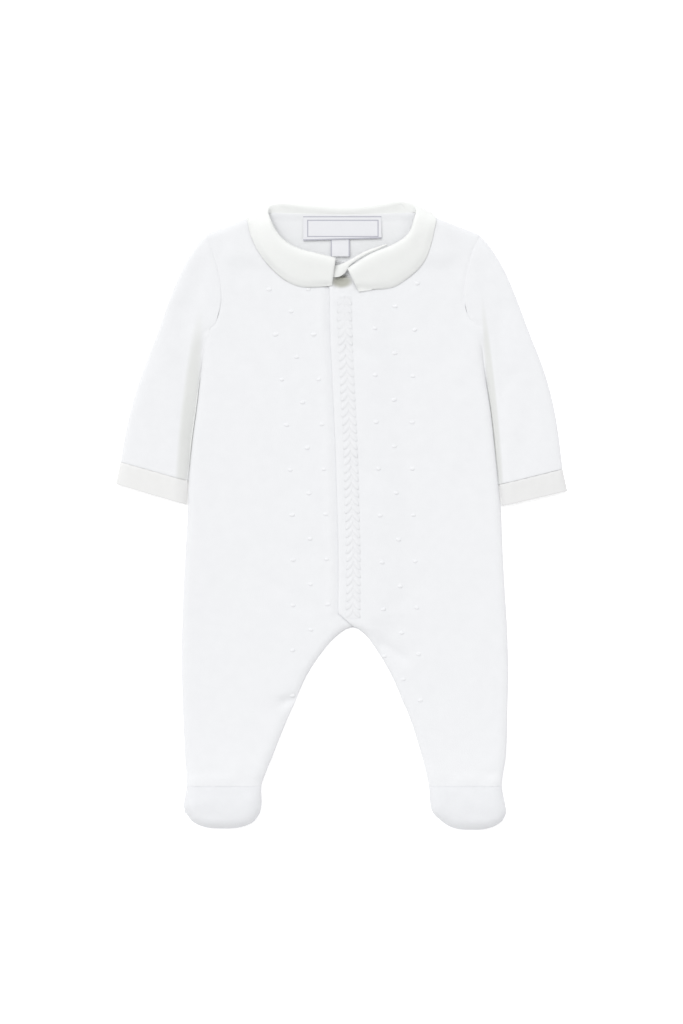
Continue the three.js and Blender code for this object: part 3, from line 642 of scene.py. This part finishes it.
SIDE_COLUMNS = [0, 0.3, 0.8, 1.5, 2.4, 3.4, 4.6, 6, 7.5]
MIDDLE_COLUMNS = [38, 35, 32, 29, 26.5, 24, 21, 18, 15, 12.5, 10, 8, 6.4, 5, 3.8, 2.8, 2, 1.3, 0.8, 0.4, 0]
front_jersey = jersey_finish("front_jersey", shade=HOLLOW_SHADE)
fronts = {}
for side in SIDES:
    middle = {"left": underlap_x, "right": opening_x}[side]
    plan = [
        across(start, end, SIDE_COLUMNS, MIDDLE_COLUMNS, 26)
        for start, end in half_rows(side, ANKLE_Y, middle, curve_through(NECK[side]))
    ]
    front = panel(f"cloth_front_{side}", plan, lambda x, y: dressed_z(side, x, y))
    fronts[side] = sew(thicken(front), front_jersey, "jersey", f"front_{side}")

# Dots: small ovals knitted into the fronts as raised stitches, in three staggered
# columns on each side of the braid, all in the jersey's own yarn.
DOT = {"length": 4.3, "width": 2.9, "height": 0.75, "depth": 0.8}
# Lowest and highest dot of a column, how many it has, and the way it takes: x, y
DOT_COLUMNS = {
    "left": [
        (-143.6, 180.4, 10, [(-39.3, -144), (-38.8, -36), (-41.2, 38), (-48, 110), (-58, 181)]),
        (-91.2, 162.8, 8, [(-24.4, -92), (-25.2, -19), (-27.6, 55), (-32.4, 100), (-40.4, 163)]),
        (-70.8, 180.4, 8, [(-10.8, -71), (-12, -20), (-14, 38), (-18.3, 110), (-26.8, 181)]),
    ],
    "right": [
        (-112.2, 149.4, 8, [(34.5, -113), (32.1, -37), (29.2, 37), (27, 90), (26.5, 150)]),
        (-130.8, 166.8, 9, [(49.2, -131), (45.2, -18), (42, 56), (42, 100), (42.8, 167)]),
        (-147.6, 185.2, 10, [(62.8, -148), (60, -74), (56.4, 37), (57, 112), (60.4, 186)]),
    ],
}
DOT_TURN = 0.22
chance = random.Random(11)
# The dots take a lighter copy of the jersey's colour: painted light on the raised stitches.
dot_jersey = jersey_finish("raised_stitches", (0.850, 0.857, 0.871), (0.820, 0.827, 0.842), 0.6)
for side in SIDES:
    shape = bmesh.new()
    for low, high, count, way in DOT_COLUMNS[side]:
        for y in steps(low, high, count - 1):
            x = along(way, y)
            turn = Matrix.Rotation(chance.uniform(-DOT_TURN, DOT_TURN), 4, "Z")
            grow = chance.uniform(0.92, 1.08)
            size = Matrix.Diagonal((
                DOT["length"] / 2 * grow, DOT["width"] / 2 * grow, (DOT["height"] + DOT["depth"]) / 2, 1 / MM,
            )) * MM
            where = place(x, y, dressed_z(side, x, y) + (DOT["height"] - DOT["depth"]) / 2)
            matrix = Matrix.Translation(where) @ turn @ size
            bmesh.ops.create_uvsphere(shape, u_segments=20, v_segments=12, radius=1, matrix=matrix)
    sew(piece_of(f"dots_{side}", shape), dot_jersey, "jersey")

# Braid: a plaited band down the middle of the right front. Two rows of short thick
# stitches lean on each other as chevrons, over a thin strip that is sewn down. They
# lie flatter towards the neck.
BRAID = {"low": -82, "high": 175, "width": 12, "pitch": 6.4, "fall": 7.5}
STRAND = {"length": 8.4, "width": 3.4, "height": 0.8}
STRIP_HEIGHT = 0.35
STRIP_THICKNESS = 0.5
FLAT_TOP = 45
# The braid takes a darker copy of the jersey's colour: painted shade among the plaits.
braid_thread = jersey_finish("braid_thread", (0.826, 0.832, 0.847), (0.790, 0.796, 0.812), 1.0)
shape = bmesh.new()
count = round((BRAID["high"] - BRAID["low"] - BRAID["fall"]) / BRAID["pitch"])
for level in steps(BRAID["low"] + BRAID["fall"] / 2, BRAID["high"] - BRAID["fall"] / 2, count):
    for way in (-1, 1):
        x = along(CENTRE_FRONT, level) + way * BRAID["width"] * 0.24
        lean = Matrix.Rotation(way * -math.atan2(BRAID["fall"], BRAID["width"] / 2), 4, "Z")
        height = STRAND["height"] * (0.05 + 0.95 * soft((BRAID["high"] - level - 6) / FLAT_TOP))
        size = Matrix.Diagonal((STRAND["length"] / 2, STRAND["width"] / 2, height / 2, 1 / MM)) * MM
        where = place(x, level, dressed_z("right", x, level) + STRIP_HEIGHT)
        bmesh.ops.create_uvsphere(
            shape, u_segments=16, v_segments=10, radius=1, matrix=Matrix.Translation(where) @ lean @ size
        )
braid = sew(piece_of("braid_plaits", shape), braid_thread, "braid", "braid")


def strip_plan(low, high, half, count):
    rows = steps(low, high, count)
    return [[(along(CENTRE_FRONT, y) + s * half, y) for s in (-1, -0.8, -0.4, 0, 0.4, 0.8, 1)] for y in rows]


def strip_z(x, y):
    inside = BRAID["width"] / 2 - abs(x - along(CENTRE_FRONT, y))
    return dressed_z("right", x, y) + STRIP_HEIGHT * soft(inside / 3)


strip = panel("braid_strip", strip_plan(BRAID["low"], BRAID["high"], BRAID["width"] / 2, 120), strip_z)
sew(thicken(strip, STRIP_THICKNESS), braid_thread, "braid")

# Back, soles and the rest of the walls start as finer copies of their solids: the
# same form, with its facets smoothed out and its cut edges kept.


def finer(node, name, levels):
    """A finer, smooth copy of a solid's wall."""
    shape = bmesh.new()
    shape.from_mesh(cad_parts[node].data)
    bmesh.ops.remove_doubles(shape, verts=shape.verts, dist=0.001 * MM)
    bmesh.ops.join_triangles(
        shape, faces=shape.faces,
        angle_face_threshold=math.radians(50), angle_shape_threshold=math.radians(70),
    )
    keep = shape.edges.layers.float.new("crease_edge")
    for edge in shape.edges:
        if len(edge.link_faces) == 2 and edge.calc_face_angle() > math.radians(62):
            edge[keep] = 0.9
    made = piece_of(name, shape)
    smooth = made.modifiers.new("smooth", "SUBSURF")
    smooth.levels = levels
    smooth.render_levels = levels
    return baked(made)


def moved(piece, way):
    """Moves every point of a wall by the way for its x, y and z."""
    for vertex in piece.data.vertices:
        x, y, z = vertex.co / MM
        vertex.co += Vector(way(x, y - CHEST_Y, z)) * MM
    piece.data.update()
    return piece


BACK_NECK_Y = 238.4
NECK_TUCK = {"back": 2.2, "up": 0.9}
# Painted shade: the back's base colour is greyed inside the neck opening, round the label.
INSIDE_SHADE = {
    "at": (0, 222), "across": 58, "down": 20, "slant": 0, "depth": 0.5, "colour": (0.77, 0.78, 0.785),
}


def back_way(x, y, z):
    """The neck edge goes under the seam of the collar."""
    near = soft((y - BACK_NECK_Y + 3) / 3) * soft((70 - abs(x)) / 8)
    return 0, NECK_TUCK["back"] * near, NECK_TUCK["up"] * near


cloth_back = finer("back", "cloth_back", 2)
moved(cloth_back, back_way)
back = sew(cloth_back, jersey_finish("back_jersey", shade=INSIDE_SHADE), "jersey", "back")

# Feet: a puffy jersey cap from the ankle seam over the toe, and a sole under it. The
# cap is eased into the ankle seam, which shows as a fine ridge with a groove below.
FOOT_COLUMNS = [0, 0.5, 1.1, 1.9, 3, 4.4, 6, 8.2, 11]
ANKLE_TUCK = 1.4
SOLE_EASE = 0.045
foot_folds = {
    side: fold_tree(
        edge_line(SIDE_SEAM[side], TOE_CORNER_Y, -150),
        edge_line(INSEAM[side], TOE_CORNER_Y, -150),
        toe_lines[side],
    )
    for side in SIDES
}
# The feet take a darker copy of the jersey's colour: painted shade.
foot_jersey = jersey_finish("foot_jersey", (0.796, 0.804, 0.824), (0.752, 0.760, 0.780), 1.5)


def foot_plan(side):
    rows = []
    top = ANKLE_Y + ANKLE_TUCK
    last = TOE_Y[side] - TOE_CORNER_Y
    for t in steps(0, 1, 34, 1.6):
        y = top + (TOE_CORNER_Y - top) * t
        ends = [(along(line[side], y), y) for line in (SIDE_SEAM, INSEAM)]
        bow = last * soft((t - 0.4) / 0.6)
        sharp = 2 if t < 0.4 else TOE_SHARPNESS
        rows.append(across(*ends, FOOT_COLUMNS, FOOT_COLUMNS[::-1], 22, bow, sharp))
    return rows


def foot_z(side, x, y):
    z, share = front_z(side, x, y, foot_folds[side])
    below = ANKLE_Y - y
    near = math.exp(-max(0, below) / 5)
    ease = 0.12 * math.sin(x * 1.1 + noise.noise(Vector((x / 9, 0, 0))) * 3)
    own = 0.5 * noise.noise(Vector((x / 11, y / 9, 1)))
    seam = -0.35 * math.exp(-(below / 1.8) ** 2)
    return z + share * (near * (ease + unevenness(side, x, y)) + (1 - near) * own + seam)


for side in SIDES:
    upper = panel(f"cloth_foot_upper_{side}", foot_plan(side), lambda x, y: foot_z(side, x, y))
    sew(thicken(upper), foot_jersey, "jersey", f"foot_upper_{side}")
    sole = finer(f"sole_{side}", f"cloth_sole_{side}", 2)
    middle_x = sum(x for x, y in foot_ends(side)) / 2
    moved(sole, lambda x, y, z: ((middle_x - x) * SOLE_EASE, (TOE_CORNER_Y - y) * SOLE_EASE, 0))
    sew(sole, foot_jersey, "jersey", f"sole_{side}")

# Sleeves: jersey tubes laid flat beside the body, a little twisted, so that the inner
# side turns down and away from the light.
ARM_SIDE = {
    "left": [(-98, 196), (-101, 160), (-110, 146), (-114.5, 96), (-119, 60), (-122.8, 27)],
    "right": [(100, 196), (103, 160), (112, 150), (118, 96), (122.5, 60), (126, 24)],
}
SLEEVE_CREASES = {
    "left": [
        (-128, 165, -122, 60, 7.0, 0.9), (-150, 100, -140, 40, 7.0, 0.4), (-112, 196, -122, 150, 7.0, 0.6),
        (-134, 118, -118, 92, 6.0, 0.5), (-116, 210, -132, 176, 6.0, -0.4),
    ],
    "right": [
        (128, 165, 125, 60, 6.0, 0.8), (152, 100, 144, 40, 7.0, 0.4), (114, 196, 124, 150, 7.0, 0.6),
        (137, 112, 122, 84, 6.0, 0.6), (118, 210, 134, 176, 6.0, -0.4),
    ],
}
# Painted shade: the sleeves' base colour darkens in a strip along their inner side, beside the body.
SLEEVE_PAINTED_SHADE = (0.68, 0.69, 0.66)
SLEEVE_SHADE = {
    "left": {
        "at": (-122, 78), "across": 6, "down": 70, "slant": 0.105, "depth": 0.6, "colour": SLEEVE_PAINTED_SHADE,
    },
    "right": {
        "at": (121, 88), "across": 3, "down": 70, "slant": -0.1, "depth": 0.6, "colour": SLEEVE_PAINTED_SHADE,
    },
}
ARMHOLE_TUCK = 1.0
BESIDE_BODY = 1.2
TURN_DOWN = {"left": (10.0, 3.6), "right": (8.0, 3.2)}
arm_lines = {side: fold_tree(curve_through(ARM_SIDE[side])[0]) for side in SIDES}


def sleeve_way(side, x, y, z):
    """Only the upper layer sinks, so that the lower one stays on the table."""
    upper = soft((z - 2.6) / 2.0)
    reach, depth = TURN_DOWN[side]
    below_armpit = soft((150 - y) / 25)
    from_body = away(arm_lines[side], x, y)
    turned = depth * max(0, 1 - from_body / reach) ** 1.2 * below_armpit
    inwards = (1 if side == "left" else -1) * BESIDE_BODY * (1 - soft(from_body / 16)) * below_armpit
    from_armhole = away(armhole_lines[side], x, y)
    sewn = 0.5 * math.exp(-(from_armhole / 1.8) ** 2)
    above_armpit = soft((y - ARMHOLE[side][0][1] - 1) / 8)
    closing = (from_armhole + ARMHOLE_TUCK) * (1 - soft((from_armhole - 0.5) / 4)) * above_armpit
    tuck = towards(armhole_lines[side], x, y) * closing
    dent = creased(x, y, SLEEVE_CREASES[side]) + rumple(x, y) - turned - sewn
    return tuck.x + inwards, tuck.y, upper * dent


for side in SIDES:
    sleeve = finer(f"sleeve_{side}", f"cloth_sleeve_{side}", 3)
    moved(sleeve, lambda x, y, z: sleeve_way(side, x, y, z))
    sleeve_jersey = jersey_finish(f"sleeve_jersey_{side}", shade=SLEEVE_SHADE[side])
    sew(sleeve, sleeve_jersey, "jersey", f"sleeve_{side}")

# Woven cotton of the collar and cuffs: a plain weave, off-white beside the jersey and
# a little crisper.
THREAD = 0.42
WEAVE_DEPTH = 0.05
COLLAR_LIGHT = (0.850, 0.860, 0.848)
COLLAR_DARK = (0.815, 0.825, 0.812)
# The right cuff takes a darker copy of the same cotton as the left: painted shade.
CUFF_LIGHT = {"left": (0.806, 0.806, 0.802), "right": (0.780, 0.780, 0.778)}
CUFF_DARK = {"left": (0.770, 0.769, 0.764), "right": (0.742, 0.742, 0.740)}


def woven_finish(name, light, dark, turn):
    cloth = Finish(name, 0.85, 0.05)
    where, _ = cloth.axes()
    turned = cloth.node("ShaderNodeMapping", {}, {"Vector": where, "Rotation": (0, 0, turn)})
    x, y = (cloth.node("ShaderNodeSeparateXYZ", {}, {0: turned}, k) for k in range(2))
    over = (x / (2 * THREAD)).wave() * (y / (2 * THREAD)).wave()
    slub = cloth.cloudy(where, 2.2, 3.0)
    cloth.colour(cloth.mix(cloth.cloudy(where, CLOUD, 4.0), dark, light))
    cloth.bump(over * 0.6 + slub * 1.5, WEAVE_DEPTH)
    return cloth


# Cuffs: a plain band of the woven cotton, seamed to the sleeve's end.
CUFF_SLANT = {"left": 0.29, "right": -0.24}
cuff_cotton = {
    side: woven_finish(f"cuff_cotton_{side}", CUFF_LIGHT[side], CUFF_DARK[side], CUFF_SLANT[side])
    for side in SIDES
}
CUFF_TUCK = 0.5
CUFF_TURN = {"left": (11.0, 3.2), "right": (9.0, 2.8)}
CUFF_SEAM = {"left": ((-176.6, 42.8), (-122.8, 27.6)), "right": ((176.6, 37.2), (126, 24.6))}
cuff_seams = {side: fold_tree(list(CUFF_SEAM[side])) for side in SIDES}


def cuff_way(side, x, y, z):
    reach, depth = CUFF_TURN[side]
    inner_x = CUFF_SEAM[side][1][0]
    from_body = abs(x - inner_x)
    turned = depth * max(0, 1 - from_body / reach) ** 1.2
    inwards = (1 if side == "left" else -1) * BESIDE_BODY * (1 - soft(from_body / 16))
    ease = 0.25 * math.sin(x * 0.8 + noise.noise(Vector((x / 7, 4, 0))) * 2)
    from_seam = away(cuff_seams[side], x, y)
    tuck = CUFF_TUCK * (1 - soft(from_seam / 3))
    sunk = 0.85 * math.exp(-(from_seam / 1.2) ** 2)
    return inwards, tuck, soft((z - 2.6) / 2.0) * (ease * math.exp(-from_seam / 4) - turned - sunk)


for side in SIDES:
    cuff = finer(f"cuff_{side}", f"cloth_cuff_{side}", 3)
    moved(cuff, lambda x, y, z: cuff_way(side, x, y, z))
    sew(cuff, cuff_cotton[side], "woven", f"cuff_{side}")

# Collar: woven cotton, a low stand sewn round the neck, rolled over at the top into a
# leaf with rounded ends. Its back half lies folded under the back.
collar_cotton = woven_finish("collar_cotton", COLLAR_LIGHT, COLLAR_DARK, 0.6)
LEAF_EDGE = {
    "left": [
        (-7.6, 183.2), (-28.4, 181.5), (-44.4, 186.8), (-58.8, 199.6), (-70, 216.4), (-74.6, 232.6),
        (-76.4, 238.6),
    ],
    "right": [
        (12.9, 180), (37.2, 180.6), (49.2, 186.5), (61, 195.8), (69.2, 207.6), (75, 231.8), (75, 239.2),
    ],
}
LEAF_TAPER = {"width": 5.0, "thin": 0.55}
LEAF_LYING_Y = 236
leaf_lines = {side: fold_tree([tuple(at) for at in curve_through(LEAF_EDGE[side], 60)[0]]) for side in SIDES}


def collar_way(x, y, z):
    """The leaf follows the fronts that it lies on, and thins towards its edge."""
    side = "right" if x > opening_x(y) else "left"
    floor = dressed_z(side, x, y, 0)
    lying = soft((z - floor + 1.4) / 1.2) * (1 - soft((y - LEAF_LYING_Y + 8) / 8))
    near = 1 - soft(away(leaf_lines["left" if x < 0 else "right"], x, y) / LEAF_TAPER["width"])
    thinner = max(0, z - floor) * LEAF_TAPER["thin"] * near
    return 0, 0, lying * (unevenness(side, x, y) - thinner)


collar = finer("collar", "cloth_collar", 2)
moved(collar, collar_way)
sew(collar, collar_cotton, "woven", "collar")

# Neck band: a narrow bias strip that binds the right front's neck edge. Its rounded
# end passes under the left half of the collar.
# Centre line x, y, width and height
BAND_ROWS = [
    (-9.4, 192.6, 2.0, 8.2), (-8, 193.2, 6.0, 8.8), (-4.6, 194.3, 9.0, 9.2), (-0.4, 196.2, 8.6, 9.4),
    (2.8, 198.8, 5.8, 9.5), (5.8, 201.2, 3.8, 9.7), (11.6, 205, 3.0, 9.9), (20.6, 209.9, 2.8, 9.8),
    (29, 213.2, 2.2, 9.2), (36, 216, 1.2, 8.4),
]
BAND_CROWN = 0.8
BAND_COLUMNS = (-1, -0.9, -0.7, -0.35, 0, 0.35, 0.7, 0.9, 1)


def band_plan():
    spans = [curve_through([row[part] for row in BAND_ROWS])[0] for part in (slice(0, 2), slice(2, 4))]
    rows = []
    for k in range(0, len(spans[0]), 3):
        at, (width, height) = spans[0][k], spans[1][k]
        run = spans[0][min(k + 1, len(spans[0]) - 1)] - spans[0][max(k - 1, 0)]
        side = Vector((-run.y, run.x)).normalized() * width / 2
        rows.append([(*(at + side * s), height + BAND_CROWN * (1 - s * s)) for s in BAND_COLUMNS])
    return rows


plan = band_plan()
heights = {(round(x, 3), round(y, 3)): z for row in plan for x, y, z in row}
flat_plan = [[(x, y) for x, y, z in row] for row in plan]
cloth_band = panel("cloth_neck_band", flat_plan, lambda x, y: heights[round(x, 3), round(y, 3)])
band = sew(thicken(cloth_band), collar_cotton, "woven", "neck_band")

# Label and size tab: woven ribbon, sewn to the back neck. The label has a plain ruled
# border, and both are left without words. The grey lines along the tab's sides and
# along the label's lower edge are painted shadow of those raised edges; the label has
# one more grey line along its top edge.
RIBBON_THREAD = 0.3
LINE_HALF_WIDTH = 0.45
BORDER = {"left": -27.0, "right": 29.2, "low": 222.8, "high": 235.8}
RIBBON_WHITE = (0.800, 0.805, 0.832)
RULE_AND_SHADOW_GREY = (0.40, 0.40, 0.47)
LABEL_CORNERS = [(-30.6, 219.6), (32, 221.4), (31.8, 239.2), (-30.6, 239.0)]
TAB_CORNERS = [(-8.6, 206.8), (6.6, 206.8), (6.6, 223), (-8.6, 223)]
EDGE_LINE_INSET = 0.5
BACK_FACE = CLOTH + LAYER
RIBBON = {"label": 0.5, "tab": 0.8}


def ribbon(name, ruled):
    cloth = Finish(name, 0.6, 0.0)
    where, (x, y, _) = cloth.axes()
    y = y - CHEST_Y
    if ruled:
        across_border = abs(x - (BORDER["left"] + BORDER["right"]) / 2)
        half = (BORDER["right"] - BORDER["left"]) / 2
        middle = (BORDER["low"] + BORDER["high"]) / 2
        tall = (BORDER["high"] - BORDER["low"]) / 2
        from_side = abs(across_border - half)
        from_rule = abs(abs(y - middle) - tall)
        inside_x = 1 - across_border.above(half + LINE_HALF_WIDTH, 0.2)
        inside_y = 1 - abs(y - middle).above(tall + LINE_HALF_WIDTH, 0.2)
        upright = (1 - from_side.above(LINE_HALF_WIDTH, 0.3)) * inside_y
        level = (1 - from_rule.above(LINE_HALF_WIDTH, 0.3)) * inside_x
        (x0, low), (x1, lower), (_, high), _ = LABEL_CORNERS
        foot = (x - x0) * ((lower - low) / (x1 - x0)) + low
        # Painted shadow under the label's raised lower edge, and a grey line along its top edge.
        from_edge_line = abs(y - foot - EDGE_LINE_INSET).maths("MINIMUM", abs(y - high + EDGE_LINE_INSET))
        lines = upright.maths("MAXIMUM", level).maths("MAXIMUM", 1 - from_edge_line.above(LINE_HALF_WIDTH, 0.3))
    else:
        (x0, _), (x1, _), _, _ = TAB_CORNERS
        # Painted shadow along both sides of the tab.
        from_edge_line = abs(abs(x - (x0 + x1) / 2) - (x1 - x0) / 2 + EDGE_LINE_INSET)
        lines = 1 - from_edge_line.above(LINE_HALF_WIDTH, 0.3)
    cloth.colour(cloth.mix(lines * 0.8, RIBBON_WHITE, RULE_AND_SHADOW_GREY))
    rows = (y / RIBBON_THREAD).wave() + cloth.cloudy(where, 0.6)
    cloth.bump(rows, 0.03)
    return cloth


def ribbon_piece(name, corners, free, height, thickness):
    """A flat ribbon held at its upper edge, its lower edge standing off the back."""
    (x0, y0), (x1, y1), (x2, y2), (x3, y3) = corners
    plan = [
        [((x0 + (x1 - x0) * u) * (1 - v) + (x3 + (x2 - x3) * u) * v,
          (y0 + (y1 - y0) * u) * (1 - v) + (y3 + (y2 - y3) * u) * v) for u in steps(0, 1, 40)]
        for v in steps(0, 1, 16)
    ]

    def stands_off(x, y):
        off = free * (1 - soft((y - y0) / (y3 - y0)))
        return height + thickness + off + 0.1 * rumple(x * 3, y * 3)

    return thicken(panel(name, plan, stands_off), thickness)


label_piece = ribbon_piece("cloth_label", LABEL_CORNERS, 1.2, BACK_FACE + SEAM_GAP, RIBBON["label"])
tab_piece = ribbon_piece("cloth_size_tab", TAB_CORNERS, 1.6, BACK_FACE + 0.1, RIBBON["tab"])
label = sew(label_piece, ribbon("label_ribbon", True), "label", "neck_label")
tab = sew(tab_piece, ribbon("tab_ribbon", False), "label", "size_tab")
